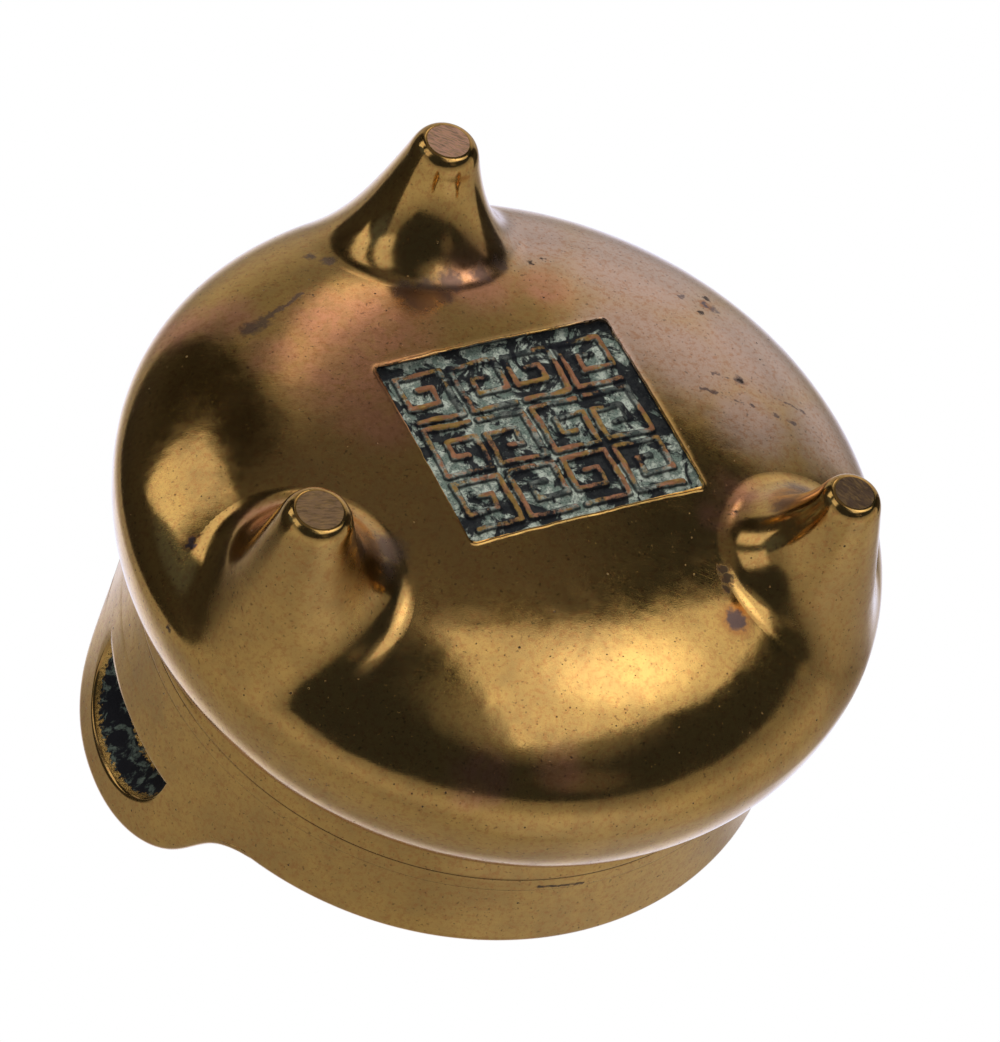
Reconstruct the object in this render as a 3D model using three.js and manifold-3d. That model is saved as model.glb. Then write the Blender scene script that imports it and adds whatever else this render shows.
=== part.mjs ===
// Tripod incense burner of cast brass: a squat bowl on three short tapered feet, with a turned neck,
// a flared lip ring, two loop ears on the lip and a sunk plate in the base. It stands on its soles.
import * as THREE from "three";
import { mergeVertices } from "three/addons/utils/BufferGeometryUtils.js";
import Module from "manifold-3d";

const wasm = await Module();
wasm.setup();

// Driving dimensions, in millimetres and degrees. Heights count from the soles of the feet.
const clearance = 0.3; // gap between any piece and its seat

const bellyRadius = 45;
const bellyHeight = 24.2; // height of the widest girth
const baseHeight = 10.1; // underside of the bowl on its axis
const undersidePower = 3; // how flat the underside stays before it turns up
const turnPower = 1.052; // how tight it turns up to the belly
const shoulderInset = 5.9;
const shoulderRise = 11;
const shoulderTurn = 62; // part of the shoulder's quarter ellipse that shows below the neck
const wallThickness = 3.2;
const baseThickness = 5.3;

const neckRadius = 38.4;
const neckRise = 14.2; // from the widest girth to the waist of the neck
const neckWall = 2.4;
const hollowDrop = 2; // how far below the waist the hollow starts to widen
const seamRise = 3; // from the waist to the turned groove, where the lip ring sits on the neck
const seamFlare = 0.7; // how much wider the groove's edges are than the waist
const grooveChamfer = 0.35;
const spigotHeight = 2.6;
const spigotThickness = 1.3;

const lipRise = 11.2; // from the groove to the top of the lip
const lipFlare = 1.7; // how much wider the lip is than the groove's edges
const lipRounding = 1.4;
const mouthRounding = 0.8;

const earAngles = { ear_right: 0, ear_left: 180 };
const earProud = 0.3; // how far the outer face of an ear stands out from the lip
const earLean = 0.235; // outward lean of an ear for each millimetre of height
const earThickness = 5;
const earHalfWidth = 17.8;
const earHeight = 12.2;
const earSpread = 3.2; // how much further each leg of an ear spreads along the lip
const earSpreadHeight = 4.4; // height at which that spread has run out into the arch
const loopHalfWidth = 10.4;
const loopHeight = 8.4;
const earArchPower = 2.25;
const earSoftEdge = 1.5; // rounding of the outer edges of an ear
const earCrispEdge = 0.4; // rounding of the edges of its finger hole
const earHeel = 1.5; // how far an ear reaches down over the rounded lip, which it is coped to fit
const tenonWidth = 4;
const tenonThickness = 2;
const tenonDepth = 3;

const footRing = 35; // radius of the circle that the feet stand on
const footAngles = { foot_back: 91.5, foot_left: 219, foot_right: 338.7 };
const soleRadius = 2.6;
const soleRounding = 1.7;
const flankSlope = 0.29; // how much a foot widens for each millimetre of height, near its sole
const skirtInward = 12.8; // reach of a foot's flared skirt towards the middle of the base
const skirtSideways = 12.8; // its reach to either side
const skirtEdgeInset = 0.5; // how far inside the widest girth the skirt ends on its outer side
const flankHold = 0.46; // how long the straight flank lasts
const skirtHold = 0.29; // how long the flare lies along the bowl
const skirtEdge = 0.25; // thickness left at the skirt's edge
const pegRadius = 2.2;
const pegDepth = 2.2;

const recessLength = 30;
const recessWidth = 25.6;
const recessCorner = 0.8;
const recessDepth = 1.5;
const recessTurn = -4.4;
const recessCentre = new THREE.Vector2(-1.25, 0.95);
const plateThickness = 1.6;

// Heights and radii that follow from these
const neckHeight = bellyHeight + neckRise;
const seamHeight = neckHeight + seamRise;
const lipHeight = seamHeight + lipRise;
const mouthRadius = neckRadius - neckWall;
const seamRadius = neckRadius + seamFlare;
const lipRadius = seamRadius + lipFlare;
const earFaceRadius = lipRadius + earProud;
const skirtOutward = bellyRadius - skirtEdgeInset - footRing;
const plateFace = baseHeight + recessDepth;
const plateBack = plateFace + plateThickness;

// Fineness of the facets
const roundSteps = 60;
const bellySteps = 12;
const hollowSteps = 8;
const shoulderSteps = 6;
const edgeSteps = 3;
const earSteps = 36;
const footDirections = 28;
const flankSteps = 8;
const seatFacet = 2.2; // longest facet of a foot's seat, short enough to stay clear of the bowl

const radians = THREE.MathUtils.degToRad;

// Solids for cutting and joining
function solidOf(geometry) {
  const bare = geometry.clone();
  bare.deleteAttribute("normal");
  bare.deleteAttribute("uv");
  const merged = mergeVertices(bare, 1e-4);
  return new wasm.Manifold(
    new wasm.Mesh({
      numProp: 3,
      vertProperties: new Float32Array(merged.attributes.position.array),
      triVerts: new Uint32Array(merged.index.array),
    }),
  );
}

function geometryOf(solid) {
  const mesh = solid.getMesh();
  const geometry = new THREE.BufferGeometry();
  geometry.setAttribute("position", new THREE.BufferAttribute(mesh.vertProperties, 3));
  geometry.setIndex(new THREE.BufferAttribute(mesh.triVerts, 1));
  return geometry;
}

// A profile of radius and height, turned round the burner's axis
function revolve(profile) {
  const geometry = new THREE.LatheGeometry(profile, roundSteps);
  geometry.rotateX(Math.PI / 2);
  return geometry;
}

// A skin through rings of equal length, closed at both ends
function loft(rings) {
  const count = rings[0].length;
  const middle = (ring) =>
    ring.reduce((sum, point) => sum.add(point), new THREE.Vector3()).divideScalar(count);
  const points = [middle(rings[0]), ...rings.flat(), middle(rings.at(-1))];
  const faces = [];
  const at = (ring, step) => 1 + ring * count + (step % count);
  for (let step = 0; step < count; step += 1) {
    faces.push(0, at(0, step + 1), at(0, step));
    for (let ring = 0; ring < rings.length - 1; ring += 1) {
      const next = ring + 1;
      faces.push(at(ring, step), at(ring, step + 1), at(next, step + 1));
      faces.push(at(ring, step), at(next, step + 1), at(next, step));
    }
    faces.push(points.length - 1, at(rings.length - 1, step), at(rings.length - 1, step + 1));
  }
  const geometry = new THREE.BufferGeometry().setFromPoints(points);
  geometry.setIndex(faces);
  return geometry;
}

// Underside of a dished wall at a radius: flat in the middle, turning up to the belly
function underside(radius, girth, floor) {
  const spread = Math.pow(radius / girth, undersidePower);
  return bellyHeight - (bellyHeight - floor) * Math.pow(1 - spread, turnPower / 2);
}

function dish(girth, floor, steps) {
  const points = [];
  for (let step = 0; step <= steps; step += 1) {
    const turn = (Math.PI / 2) * (step / steps);
    const radius = girth * Math.pow(Math.sin(turn), 2 / undersidePower);
    points.push(new THREE.Vector2(radius, underside(Math.min(radius, girth), girth, floor)));
  }
  return points;
}

function curvePoints(curve, steps) {
  return curve.getPoints(steps).slice(1);
}

function roundedCorner(x, y, radius, from, to) {
  const start = radians(from);
  const arc = new THREE.EllipseCurve(x, y, radius, radius, start, radians(to), to < from);
  return arc.getPoints(edgeSteps);
}

// Bowl: dished outside, waisted neck, spigot for the lip ring, and the hollow inside
function bowlProfile() {
  const outside = dish(bellyRadius, baseHeight, bellySteps);
  const centre = new THREE.Vector2(bellyRadius - shoulderInset, bellyHeight);
  const shoulder = new THREE.EllipseCurve(
    centre.x, centre.y, shoulderInset, shoulderRise, 0, radians(shoulderTurn),
  );
  outside.push(...curvePoints(shoulder, shoulderSteps));
  const leave = outside.at(-1);
  const slant = new THREE.Vector2(
    -shoulderInset * Math.sin(radians(shoulderTurn)),
    shoulderRise * Math.cos(radians(shoulderTurn)),
  );
  const lead = slant.multiplyScalar((leave.x - neckRadius) / (2 * Math.abs(slant.x)));
  const waist = new THREE.Vector2(neckRadius, neckHeight);
  const intoWaist = new THREE.CubicBezierCurve(
    leave,
    leave.clone().add(lead),
    new THREE.Vector2(neckRadius, neckHeight - (neckHeight - leave.y) / 3),
    waist,
  );
  outside.push(...curvePoints(intoWaist, edgeSteps + 1));
  outside.push(new THREE.Vector2(seamRadius, seamHeight - grooveChamfer));
  outside.push(new THREE.Vector2(seamRadius - grooveChamfer, seamHeight));

  const spigotRadius = mouthRadius + spigotThickness;
  outside.push(new THREE.Vector2(spigotRadius, seamHeight));
  outside.push(new THREE.Vector2(spigotRadius, seamHeight + spigotHeight));
  outside.push(new THREE.Vector2(mouthRadius, seamHeight + spigotHeight));

  const girth = bellyRadius - wallThickness;
  const hollow = new THREE.EllipseCurve(
    mouthRadius, bellyHeight, girth - mouthRadius, neckRise - hollowDrop,
    Math.PI / 2, 0, true,
  );
  const inside = hollow.getPoints(shoulderSteps - 1);
  const floor = dish(girth, baseHeight + baseThickness, hollowSteps).reverse().slice(1);
  return [...outside, ...inside, ...floor];
}

// Lip ring: counterbored over the spigot, leaning out to a rounded lip
function collarProfile() {
  const bore = mouthRadius + spigotThickness + clearance;
  const seat = seamHeight + clearance;
  const step = seamHeight + spigotHeight + clearance;
  return [
    new THREE.Vector2(bore, seat),
    new THREE.Vector2(seamRadius - grooveChamfer, seat),
    new THREE.Vector2(seamRadius, seat + grooveChamfer),
    ...roundedCorner(lipRadius - lipRounding, lipHeight - lipRounding, lipRounding, 0, 90),
    ...roundedCorner(mouthRadius + mouthRounding, lipHeight - mouthRounding, mouthRounding, 90, 180),
    new THREE.Vector2(mouthRadius, step),
    new THREE.Vector2(bore, step),
    new THREE.Vector2(bore, seat),
  ];
}

// A place on an ear: along the lip, in from its outer face, and up from its seat on the lip
function onEar(along, inward, up) {
  const radius = earFaceRadius + earLean * up - inward;
  const turn = along / earFaceRadius;
  return new THREE.Vector3(radius * Math.cos(turn), radius * Math.sin(turn), lipHeight + up);
}

// Section of an ear's band, from the finger hole outwards, as shares of its width
function bandSection(width) {
  const soft = Math.min(earSoftEdge, width / 3);
  const crisp = Math.min(earCrispEdge, width / 4);
  const depth = earThickness;
  return [
    ...roundedCorner(width - soft, soft, soft, -90, 0),
    ...roundedCorner(width - soft, depth - soft, soft, 0, 90),
    ...roundedCorner(crisp, depth - crisp, crisp, 90, 180),
    ...roundedCorner(crisp, crisp, crisp, 180, 270),
  ].map((point) => new THREE.Vector2(point.x / width, point.y));
}

function archPoint(halfWidth, height, turn) {
  const share = 2 / earArchPower;
  const across = Math.sign(Math.cos(turn)) * Math.pow(Math.abs(Math.cos(turn)), share);
  return new THREE.Vector2(halfWidth * across, height * Math.pow(Math.sin(turn), share));
}

// Outline of an ear: an arch whose legs spread along the lip in a hollow curve
function outlinePoint(turn) {
  const point = archPoint(earHalfWidth, earHeight, turn);
  const low = Math.max(0, 1 - point.y / earSpreadHeight);
  point.x += Math.sign(point.x) * earSpread * low * low;
  return point;
}

// One ring of an ear's skin, at a turn along its arch and raised by a little
function earRing(turn, lift) {
  const inner = archPoint(loopHalfWidth, loopHeight, turn);
  const outer = outlinePoint(turn);
  return bandSection(inner.distanceTo(outer)).map((point) => {
    const place = inner.clone().lerp(outer, point.x);
    return onEar(place.x, point.y, place.y + lift + clearance);
  });
}

function earGeometry() {
  const rings = [earRing(0, -earHeel)];
  for (let step = 0; step <= earSteps; step += 1) {
    rings.push(earRing(Math.PI * (step / earSteps), 0));
  }
  rings.push(earRing(Math.PI, -earHeel));
  return loft(rings);
}

// Tenon under an ear's leg, or with a margin the pocket that takes it
function tenon(side, margin) {
  const along = side * (loopHalfWidth + earHalfWidth) / 2;
  const height = tenonDepth + clearance + margin + 1;
  const box = new THREE.BoxGeometry(
    tenonThickness + 2 * margin, tenonWidth + 2 * margin, height,
  );
  const root = onEar(along, earThickness / 2, 0);
  box.rotateZ(along / earFaceRadius);
  box.translate(root.x, root.y, lipHeight + clearance + 1 - height / 2);
  return solidOf(box);
}

// Room that the lip takes up, with its clearance: the ears are coped to it
function lipRoom() {
  const low = lipHeight - lipRounding - earHeel - clearance;
  const rounding = lipRounding + clearance;
  return solidOf(
    revolve([
      new THREE.Vector2(0, low),
      new THREE.Vector2(lipRadius + clearance, low),
      ...roundedCorner(lipRadius - lipRounding, lipHeight - lipRounding, rounding, 0, 90),
      new THREE.Vector2(0, lipHeight + clearance),
    ]),
  );
}

function turned(solid, degrees) {
  return solid.rotate([0, 0, degrees]);
}

function collarSolid() {
  let collar = solidOf(revolve(collarProfile()));
  for (const degrees of Object.values(earAngles)) {
    for (const side of [-1, 1]) {
      collar = collar.subtract(turned(tenon(side, clearance), degrees));
    }
  }
  return collar;
}

function earSolid() {
  return solidOf(earGeometry()).subtract(lipRoom()).add(tenon(-1, 0)).add(tenon(1, 0));
}

// The bowl's underside at a radius: its height, how steeply it climbs, and a foot's seat below it
function bowlAt(radius) {
  const nudge = 0.01;
  const height = underside(radius, bellyRadius, baseHeight);
  const climb = (underside(radius + nudge, bellyRadius, baseHeight) - height) / nudge;
  const seat = height - clearance * Math.hypot(1, climb);
  return { height, climb, seat };
}

// Distance from the burner's axis of a point on a foot, by direction and reach from the foot's axis
function axisDistance(direction, reach) {
  return Math.hypot(footRing + reach * Math.cos(direction), reach * Math.sin(direction));
}

function skirtReach(direction) {
  const lengthwise = Math.cos(direction) > 0 ? skirtOutward : skirtInward;
  return THREE.MathUtils.lerp(skirtSideways, lengthwise, Math.cos(direction) ** 2);
}

// Flank of a foot in one direction: straight off the sole, then flaring to lie along the bowl
function flank(direction) {
  const reach = skirtReach(direction);
  const radius = axisDistance(direction, reach);
  const bowl = bowlAt(radius);
  const outwards = (footRing * Math.cos(direction) + reach) / radius;
  const start = new THREE.Vector2(soleRadius + soleRounding * (1 + flankSlope) / 2, soleRounding);
  const end = new THREE.Vector2(reach, bowl.seat - skirtEdge);
  const span = start.distanceTo(end);
  const rise = new THREE.Vector2(flankSlope, 1).setLength(span * flankHold);
  const lie = new THREE.Vector2(1, bowl.climb * outwards).setLength(span * skirtHold);
  return new THREE.CubicBezierCurve(start, start.clone().add(rise), end.clone().sub(lie), end);
}

// A foot in its own frame, with its sole round the origin and the burner's axis towards -X
function footGeometry() {
  const directions = Array.from(
    { length: footDirections },
    (_, step) => (2 * Math.PI * step) / footDirections,
  );
  const place = (direction, reach, height) =>
    new THREE.Vector3(reach * Math.cos(direction), reach * Math.sin(direction), height);
  const seatHeight = (direction, reach) => bowlAt(axisDistance(direction, reach)).seat;
  const rings = [directions.map((direction) => place(direction, soleRadius, 0))];
  for (let step = 0; step <= flankSteps; step += 1) {
    rings.push(
      directions.map((direction) => {
        const point = flank(direction).getPoint(step / flankSteps);
        return place(direction, point.x, point.y);
      }),
    );
  }
  const widest = Math.max(skirtInward, skirtSideways, skirtOutward);
  const seatSteps = Math.ceil((widest - pegRadius) / seatFacet);
  for (let step = 0; step <= seatSteps; step += 1) {
    rings.push(
      directions.map((direction) => {
        const reach = THREE.MathUtils.lerp(skirtReach(direction), pegRadius, step / seatSteps);
        return place(direction, reach, seatHeight(direction, reach));
      }),
    );
  }
  const pegTop = bowlAt(footRing).height + pegDepth;
  rings.push(directions.map((direction) => place(direction, pegRadius, pegTop)));
  return loft(rings);
}

function pegSocket(degrees) {
  const depth = pegDepth + clearance;
  const height = depth + bellyHeight - baseHeight;
  const socket = new THREE.CylinderGeometry(
    pegRadius + clearance, pegRadius + clearance, height, footDirections,
  );
  socket.rotateX(Math.PI / 2);
  socket.translate(footRing, 0, bowlAt(footRing).height + depth - height / 2);
  return turned(solidOf(socket), degrees);
}

// Rounded rectangle of the recess, let into the base from a lower to an upper height
function recessBlock(margin, low, high) {
  const x = recessLength / 2 - margin;
  const y = recessWidth / 2 - margin;
  const corner = recessCorner;
  const outline = new THREE.Shape();
  outline.moveTo(-x + corner, -y);
  outline.lineTo(x - corner, -y);
  outline.absarc(x - corner, -y + corner, corner, -Math.PI / 2, 0);
  outline.lineTo(x, y - corner);
  outline.absarc(x - corner, y - corner, corner, 0, Math.PI / 2);
  outline.lineTo(-x + corner, y);
  outline.absarc(-x + corner, y - corner, corner, Math.PI / 2, Math.PI);
  outline.lineTo(-x, -y + corner);
  outline.absarc(-x + corner, -y + corner, corner, Math.PI, 1.5 * Math.PI);
  const block = new THREE.ExtrudeGeometry(outline, {
    depth: high - low,
    bevelEnabled: false,
    curveSegments: edgeSteps,
  });
  block.rotateZ(radians(recessTurn));
  block.translate(recessCentre.x, recessCentre.y, low);
  return block;
}

function bowlSolid() {
  let bowl = solidOf(revolve(bowlProfile()));
  bowl = bowl.subtract(solidOf(recessBlock(0, 0, plateBack + clearance)));
  for (const degrees of Object.values(footAngles)) {
    bowl = bowl.subtract(pegSocket(degrees));
  }
  return bowl;
}

// Finishes, then the pieces in their places
const polishedBrass = { color: 0xb08a4a, roughness: 0.28, metalness: 1 };
const wornBrass = { color: 0xa9824c, roughness: 0.34, metalness: 1 };
const wornFoot = { color: 0xb4835a, roughness: 0.32, metalness: 1 };
const darkPatina = { color: 0x5d6f68, roughness: 0.8, metalness: 0.3 };

const burner = new THREE.Group();

function addPiece(name, geometry, finish, degrees = 0) {
  const piece = new THREE.Mesh(geometry, new THREE.MeshStandardMaterial(finish));
  piece.name = name;
  piece.rotation.z = radians(degrees);
  burner.add(piece);
  return piece;
}

addPiece("bowl", geometryOf(bowlSolid()), polishedBrass);
addPiece("rim_collar", geometryOf(collarSolid()), wornBrass);
for (const [name, degrees] of Object.entries(earAngles)) {
  addPiece(name, geometryOf(earSolid()), wornBrass, degrees);
}
for (const [name, degrees] of Object.entries(footAngles)) {
  const foot = addPiece(name, footGeometry(), wornFoot, degrees);
  foot.position.set(footRing, 0, 0).applyAxisAngle(new THREE.Vector3(0, 0, 1), radians(degrees));
}
addPiece("mark_panel", recessBlock(clearance, plateFace, plateBack), darkPatina);

export default burner;
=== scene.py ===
"""Tripod incense burner of polished cast brass: its finished surfaces, stage, lights and camera.

The bowl, lip ring, ears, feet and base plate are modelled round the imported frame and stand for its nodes.
Lengths are in metres, in the frame's own axes, with the soles of the feet at height zero.
"""

import math

import bmesh
import bpy
import numpy as np
from bpy.props import FloatProperty, FloatVectorProperty, PointerProperty
from mathutils import Matrix, Vector, noise


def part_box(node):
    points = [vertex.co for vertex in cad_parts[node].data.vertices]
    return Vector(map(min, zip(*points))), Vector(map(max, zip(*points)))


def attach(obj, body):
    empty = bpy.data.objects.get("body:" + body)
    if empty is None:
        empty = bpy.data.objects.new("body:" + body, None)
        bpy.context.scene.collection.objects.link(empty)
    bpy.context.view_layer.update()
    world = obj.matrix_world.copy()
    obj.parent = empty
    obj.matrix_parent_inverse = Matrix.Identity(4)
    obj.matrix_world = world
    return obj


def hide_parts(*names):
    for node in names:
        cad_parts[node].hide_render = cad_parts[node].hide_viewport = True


bl_info = {
    "name": "Tripod incense burner",
    "version": (1, 0, 0),
    "blender": (4, 5, 0),
    "location": "View3D > Sidebar > Burner",
    "description": "Models the finished surfaces of a small brass tripod incense burner round its frame",
    "category": "Object",
}

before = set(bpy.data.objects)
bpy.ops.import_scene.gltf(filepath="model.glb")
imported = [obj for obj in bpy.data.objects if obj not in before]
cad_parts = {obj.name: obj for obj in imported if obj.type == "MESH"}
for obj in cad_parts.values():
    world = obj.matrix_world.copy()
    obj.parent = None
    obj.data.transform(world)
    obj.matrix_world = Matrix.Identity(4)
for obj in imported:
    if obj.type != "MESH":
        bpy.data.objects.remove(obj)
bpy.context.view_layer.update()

MM = 0.001
TURN = 2 * math.pi
ROOT = "root"

bowl_low, bowl_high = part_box("bowl")
plate_low, plate_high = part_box("mark_panel")
ring_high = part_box("rim_collar")[1]
ear_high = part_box("ear_right")[1]

# Wall of the spigot, width of the seam, and flat share of a sole's radius
SPIGOT = 1.3 * MM
SEAM_GAP = 0.05 * MM
SOLE_FLAT = 0.88
EAR_ANGLES = {"ear_right": 0.0, "ear_left": 180.0}
# Angle, radius and edge rounding of each sole, the skirt's reach clockwise, anticlockwise and inward,
# and how long the straight flank and the landing last on the inward side
FEET = {
    "foot_back": (90.9, 2.82 * MM, 2.05 * MM, 14.2 * MM, 12.4 * MM, 13.3 * MM, 0.3, 0.27),
    "foot_left": (219.0, 2.5 * MM, 1.7 * MM, 12.8 * MM, 12 * MM, 12.8 * MM, 0.42, 0.27),
    "foot_right": (338.7, 2.85 * MM, 1.7 * MM, 12.8 * MM, 12.8 * MM, 12.8 * MM, 0.42, 0.27),
}
# Angle of the scratches on each sole, in degrees
SOLE_SCRATCHES = {"foot_back": 38, "foot_left": 52, "foot_right": 8}


def length(name, description, default):
    """A size in metres."""
    return FloatProperty(name=name, description=description, default=default, unit="LENGTH", precision=5)


def ratio(name, description, default):
    """A plain number."""
    return FloatProperty(name=name, description=description, default=default)


def angle(name, description, degrees):
    """A turn, given in degrees and held in radians."""
    kind = {"subtype": "ANGLE", "unit": "ROTATION"}
    return FloatProperty(name=name, description=description, default=math.radians(degrees), **kind)


def colour(name, description, default):
    """A linear colour."""
    kind = {"subtype": "COLOR", "size": 3, "min": 0, "max": 1}
    return FloatVectorProperty(name=name, description=description, default=default, **kind)


class BurnerSizes(bpy.types.PropertyGroup):
    """Sizes of the burner's own forms. The overall ones come from the frame."""

    belly_radius: length("Belly radius", "Widest radius of the bowl", bowl_high.x)
    belly_height: length("Belly height", "Height of the widest girth above the soles", 24.2 * MM)
    base_height: length("Base height", "Height of the bowl's underside above the soles", bowl_low.z)
    base_radius: length("Base radius", "Radius of the base disc that carries the recess", 24 * MM)
    underside_power: ratio("Underside power", "How flat the underside stays", 3)
    turn_power: ratio("Turn power", "How tight it turns up to the belly", 1.052)
    wall: length("Wall", "Thickness of the bowl's wall", 3.2 * MM)
    floor: length("Floor", "Thickness of the bowl's floor", 5.3 * MM)
    shoulder_inset: length("Shoulder inset", "Half width of the shoulder's ellipse", 5.9 * MM)
    shoulder_rise: length("Shoulder rise", "Half height of the shoulder's ellipse", 11 * MM)
    shoulder_turn: angle("Shoulder turn", "Part of the shoulder's ellipse that shows", 62)
    neck_radius: length("Neck radius", "Radius of the waist", 38.4 * MM)
    neck_height: length("Neck height", "Height of the waist", 38.4 * MM)
    seam_radius: length("Seam radius", "Radius at the turned groove", 39.1 * MM)
    seam_height: length("Seam height", "Height of the turned groove", 41.4 * MM)
    mouth_radius: length("Mouth radius", "Radius of the mouth", 36 * MM)
    spigot_height: length("Spigot height", "How far the neck reaches up inside the lip ring", 2.6 * MM)
    hollow_rise: length("Hollow rise", "Half height of the hollow's upper ellipse", 12.2 * MM)
    incised_height: length("Incised height", "Height of the thin line above the groove", 43.15 * MM)
    incised_depth: length("Incised depth", "Depth of that line", 0.025 * MM)
    lip_height: length("Lip height", "Height of the lip", ring_high.z)
    lip_radius: length("Lip radius", "Outer radius of the lip", ring_high.x)
    lip_rounding: length("Lip rounding", "Rounding of the lip's outer edge", 1.4 * MM)
    side_hollow: length("Side hollow", "How far the lip ring's side is hollowed", 0.06 * MM)
    mouth_rounding: length("Mouth rounding", "Rounding of the lip's inner edge", 0.8 * MM)


class EarSizes(bpy.types.PropertyGroup):
    """Sizes of the two loop ears."""

    thickness: length("Thickness", "From the outer face to the inner one", 5 * MM)
    half_width: length("Half width", "Half the width of the arch", 17.8 * MM)
    height: length("Height", "From the lip to the top of the arch", ear_high.z - ring_high.z)
    hole_half_width: length("Hole half width", "Half the width of the finger hole", 10.4 * MM)
    hole_height: length("Hole height", "Height of the finger hole", 8.4 * MM)
    hole_taper: length("Hole taper", "How much smaller the hole is at its back", 1.7 * MM)
    arch_power: ratio("Arch power", "How square the arch is", 2.25)
    spread_near: length("Near spread", "How far the leg at -Y spreads along the lip", 7.2 * MM)
    spread_far: length("Far spread", "How far the leg at +Y spreads along the lip", 12 * MM)
    rise_near: length("Near rise", "Height where the near spread has run out into the arch", 7 * MM)
    rise_far: length("Far rise", "Height where the far spread has run out into the arch", 8.6 * MM)
    root: length("Root", "How far the ear's faces run down over the lip ring", 5.5 * MM)
    run_out: length("Run-out", "How far a leg's end sinks into the lip ring past its spread", 2.5 * MM)
    soft_edge: length("Soft edge", "Rounding of the outer edges", 1.4 * MM)
    crisp_edge: length("Crisp edge", "Rounding of the finger hole's edges", 0.35 * MM)


class FootSizes(bpy.types.PropertyGroup):
    """Sizes of the three feet."""

    ring: length("Foot ring", "Radius of the circle that the feet stand on", 35 * MM)
    slope: ratio("Flank slope", "How much a foot widens near its sole", 0.29)
    skirt_outward: length("Skirt outward", "Reach of the skirt towards the belly", 9.5 * MM)
    flank_hold: ratio("Flank hold", "How long the straight flank lasts", 0.46)
    skirt_hold: ratio("Skirt hold", "How long the flare lies on the bowl", 0.29)


class RecessSizes(bpy.types.PropertyGroup):
    """Sizes of the sunk rectangle in the base and of its ornament."""

    half_length: length("Half length", "Half the length of the recess", 15 * MM)
    half_width: length("Half width", "Half the width of the recess", 12.8 * MM)
    corner: length("Corner", "Radius of its corners", 0.8 * MM)
    turn: angle("Turn", "Its turn about the burner's axis", -4.4)
    centre_x: length("Centre X", "Its place on the base", -1.25 * MM)
    centre_y: length("Centre Y", "Its place on the base", 0.95 * MM)
    plate_face: length("Plate face", "Height of the plate's face above the soles", plate_low.z)
    plate_back: length("Plate back", "Height of the plate's back above the soles", plate_high.z)
    stroke: length("Stroke", "Width of a raised line of the ornament", 0.82 * MM)
    relief: length("Relief", "Height of the raised lines", 0.62 * MM)


class BurnerColours(bpy.types.PropertyGroup):
    """Colours of the metal and its patina."""

    gold: colour("Golden brass", "Where the brass is polished bright", (0.88, 0.53, 0.155))
    brown: colour("Brown brass", "Where it has toned down", (0.66, 0.4, 0.135))
    copper: colour("Copper patches", "Pinkish patches where zinc has left the surface", (0.93, 0.43, 0.23))
    # Pale colour of the patches between the back foot and the left ear: a painted soft reflection
    painted_sheen: colour("Haze", "Pale bloom between the back foot and the left ear", (0.86, 0.6, 0.45))
    stain: colour("Stains", "Dark spots, pits and the dirt in the groove", (0.05, 0.028, 0.02))
    halo: colour("Orange stain", "Flecks, cracks and the rims of the larger spots", (0.62, 0.25, 0.08))
    # This grey also serves as painted shade where the feet meet the bowl
    spot: colour("Grey tarnish", "Tarnish and the middle of the larger spots", (0.17, 0.12, 0.12))
    verdigris: colour("Verdigris", "Pale ground of the base plate", (0.86, 0.93, 0.78))
    deep_verdigris: colour("Deep verdigris", "Its middle tone", (0.3, 0.38, 0.31))
    dark_patina: colour("Dark patina", "Near-black of the plate and the finger holes", (0.018, 0.018, 0.024))
    soot: colour("Soot", "Inside of the bowl", (0.035, 0.026, 0.02))
    ash: colour("Ash", "Ash in the bottom of the bowl", (0.32, 0.3, 0.27))
    sole_back: colour("Back sole", "Rubbed metal under the back foot", (0.95, 0.54, 0.36))
    sole_left: colour("Left sole", "Rubbed metal under the left foot", (0.2, 0.12, 0.07))
    sole_right: colour("Right sole", "Rubbed metal under the right foot", (0.47, 0.28, 0.14))


# Short mesh helpers


def new_mesh():
    """An empty bmesh whose vertices hold their place on a ring and how bare the metal is there."""
    bm = bmesh.new()
    bm.verts.layers.int.new("place")
    bm.verts.layers.float.new("bare")
    return bm


def finish_piece(bm, name, materials, node):
    """Turns a bmesh into a piece that rides on the burner's body and stands for a node of the frame."""
    bmesh.ops.recalc_face_normals(bm, faces=bm.faces)
    bm.verts.layers.int.remove(bm.verts.layers.int["place"])
    for face in bm.faces:
        face.smooth = True
    mesh = bpy.data.meshes.new(name)
    bm.to_mesh(mesh)
    bm.free()
    for surface in materials:
        mesh.materials.append(surface)
    piece = bpy.data.objects.new(name, mesh)
    bpy.context.scene.collection.objects.link(piece)
    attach(piece, ROOT)
    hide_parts(node)


def chain(bm, points, closed=False):
    """A line of vertices and edges through the points."""
    verts = [bm.verts.new(point) for point in points]
    pairs = list(zip(verts, verts[1:]))
    if closed:
        pairs.append((verts[-1], verts[0]))
    return verts, [bm.edges.new(pair) for pair in pairs]


def revolve(bm, profile, steps, start=0.0):
    """Spins a profile of (radius, height) points round the burner's axis."""
    turn = Matrix.Rotation(start, 3, "Z")
    verts, edges = chain(bm, [turn @ Vector((radius, 0, height)) for radius, height in profile])
    bmesh.ops.spin(
        bm, geom=verts + edges, cent=(0, 0, 0), axis=(0, 0, 1), dvec=(0, 0, 0),
        angle=TURN, steps=steps, use_merge=True, use_normal_flip=False, use_duplicate=False,
    )
    bmesh.ops.remove_doubles(bm, verts=bm.verts, dist=0.001 * MM)


def turn_to(bm, degrees):
    """Turns a mesh about the burner's axis."""
    matrix = Matrix.Rotation(math.radians(degrees), 3, "Z")
    bmesh.ops.rotate(bm, verts=bm.verts, cent=(0, 0, 0), matrix=matrix)


def azimuth_number(vert, count, start=0.0):
    """Number of a vertex in a ring of evenly spaced ones, counted from a starting azimuth."""
    return round((math.atan2(vert.co.y, vert.co.x) - start) * count / TURN) % count


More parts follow.
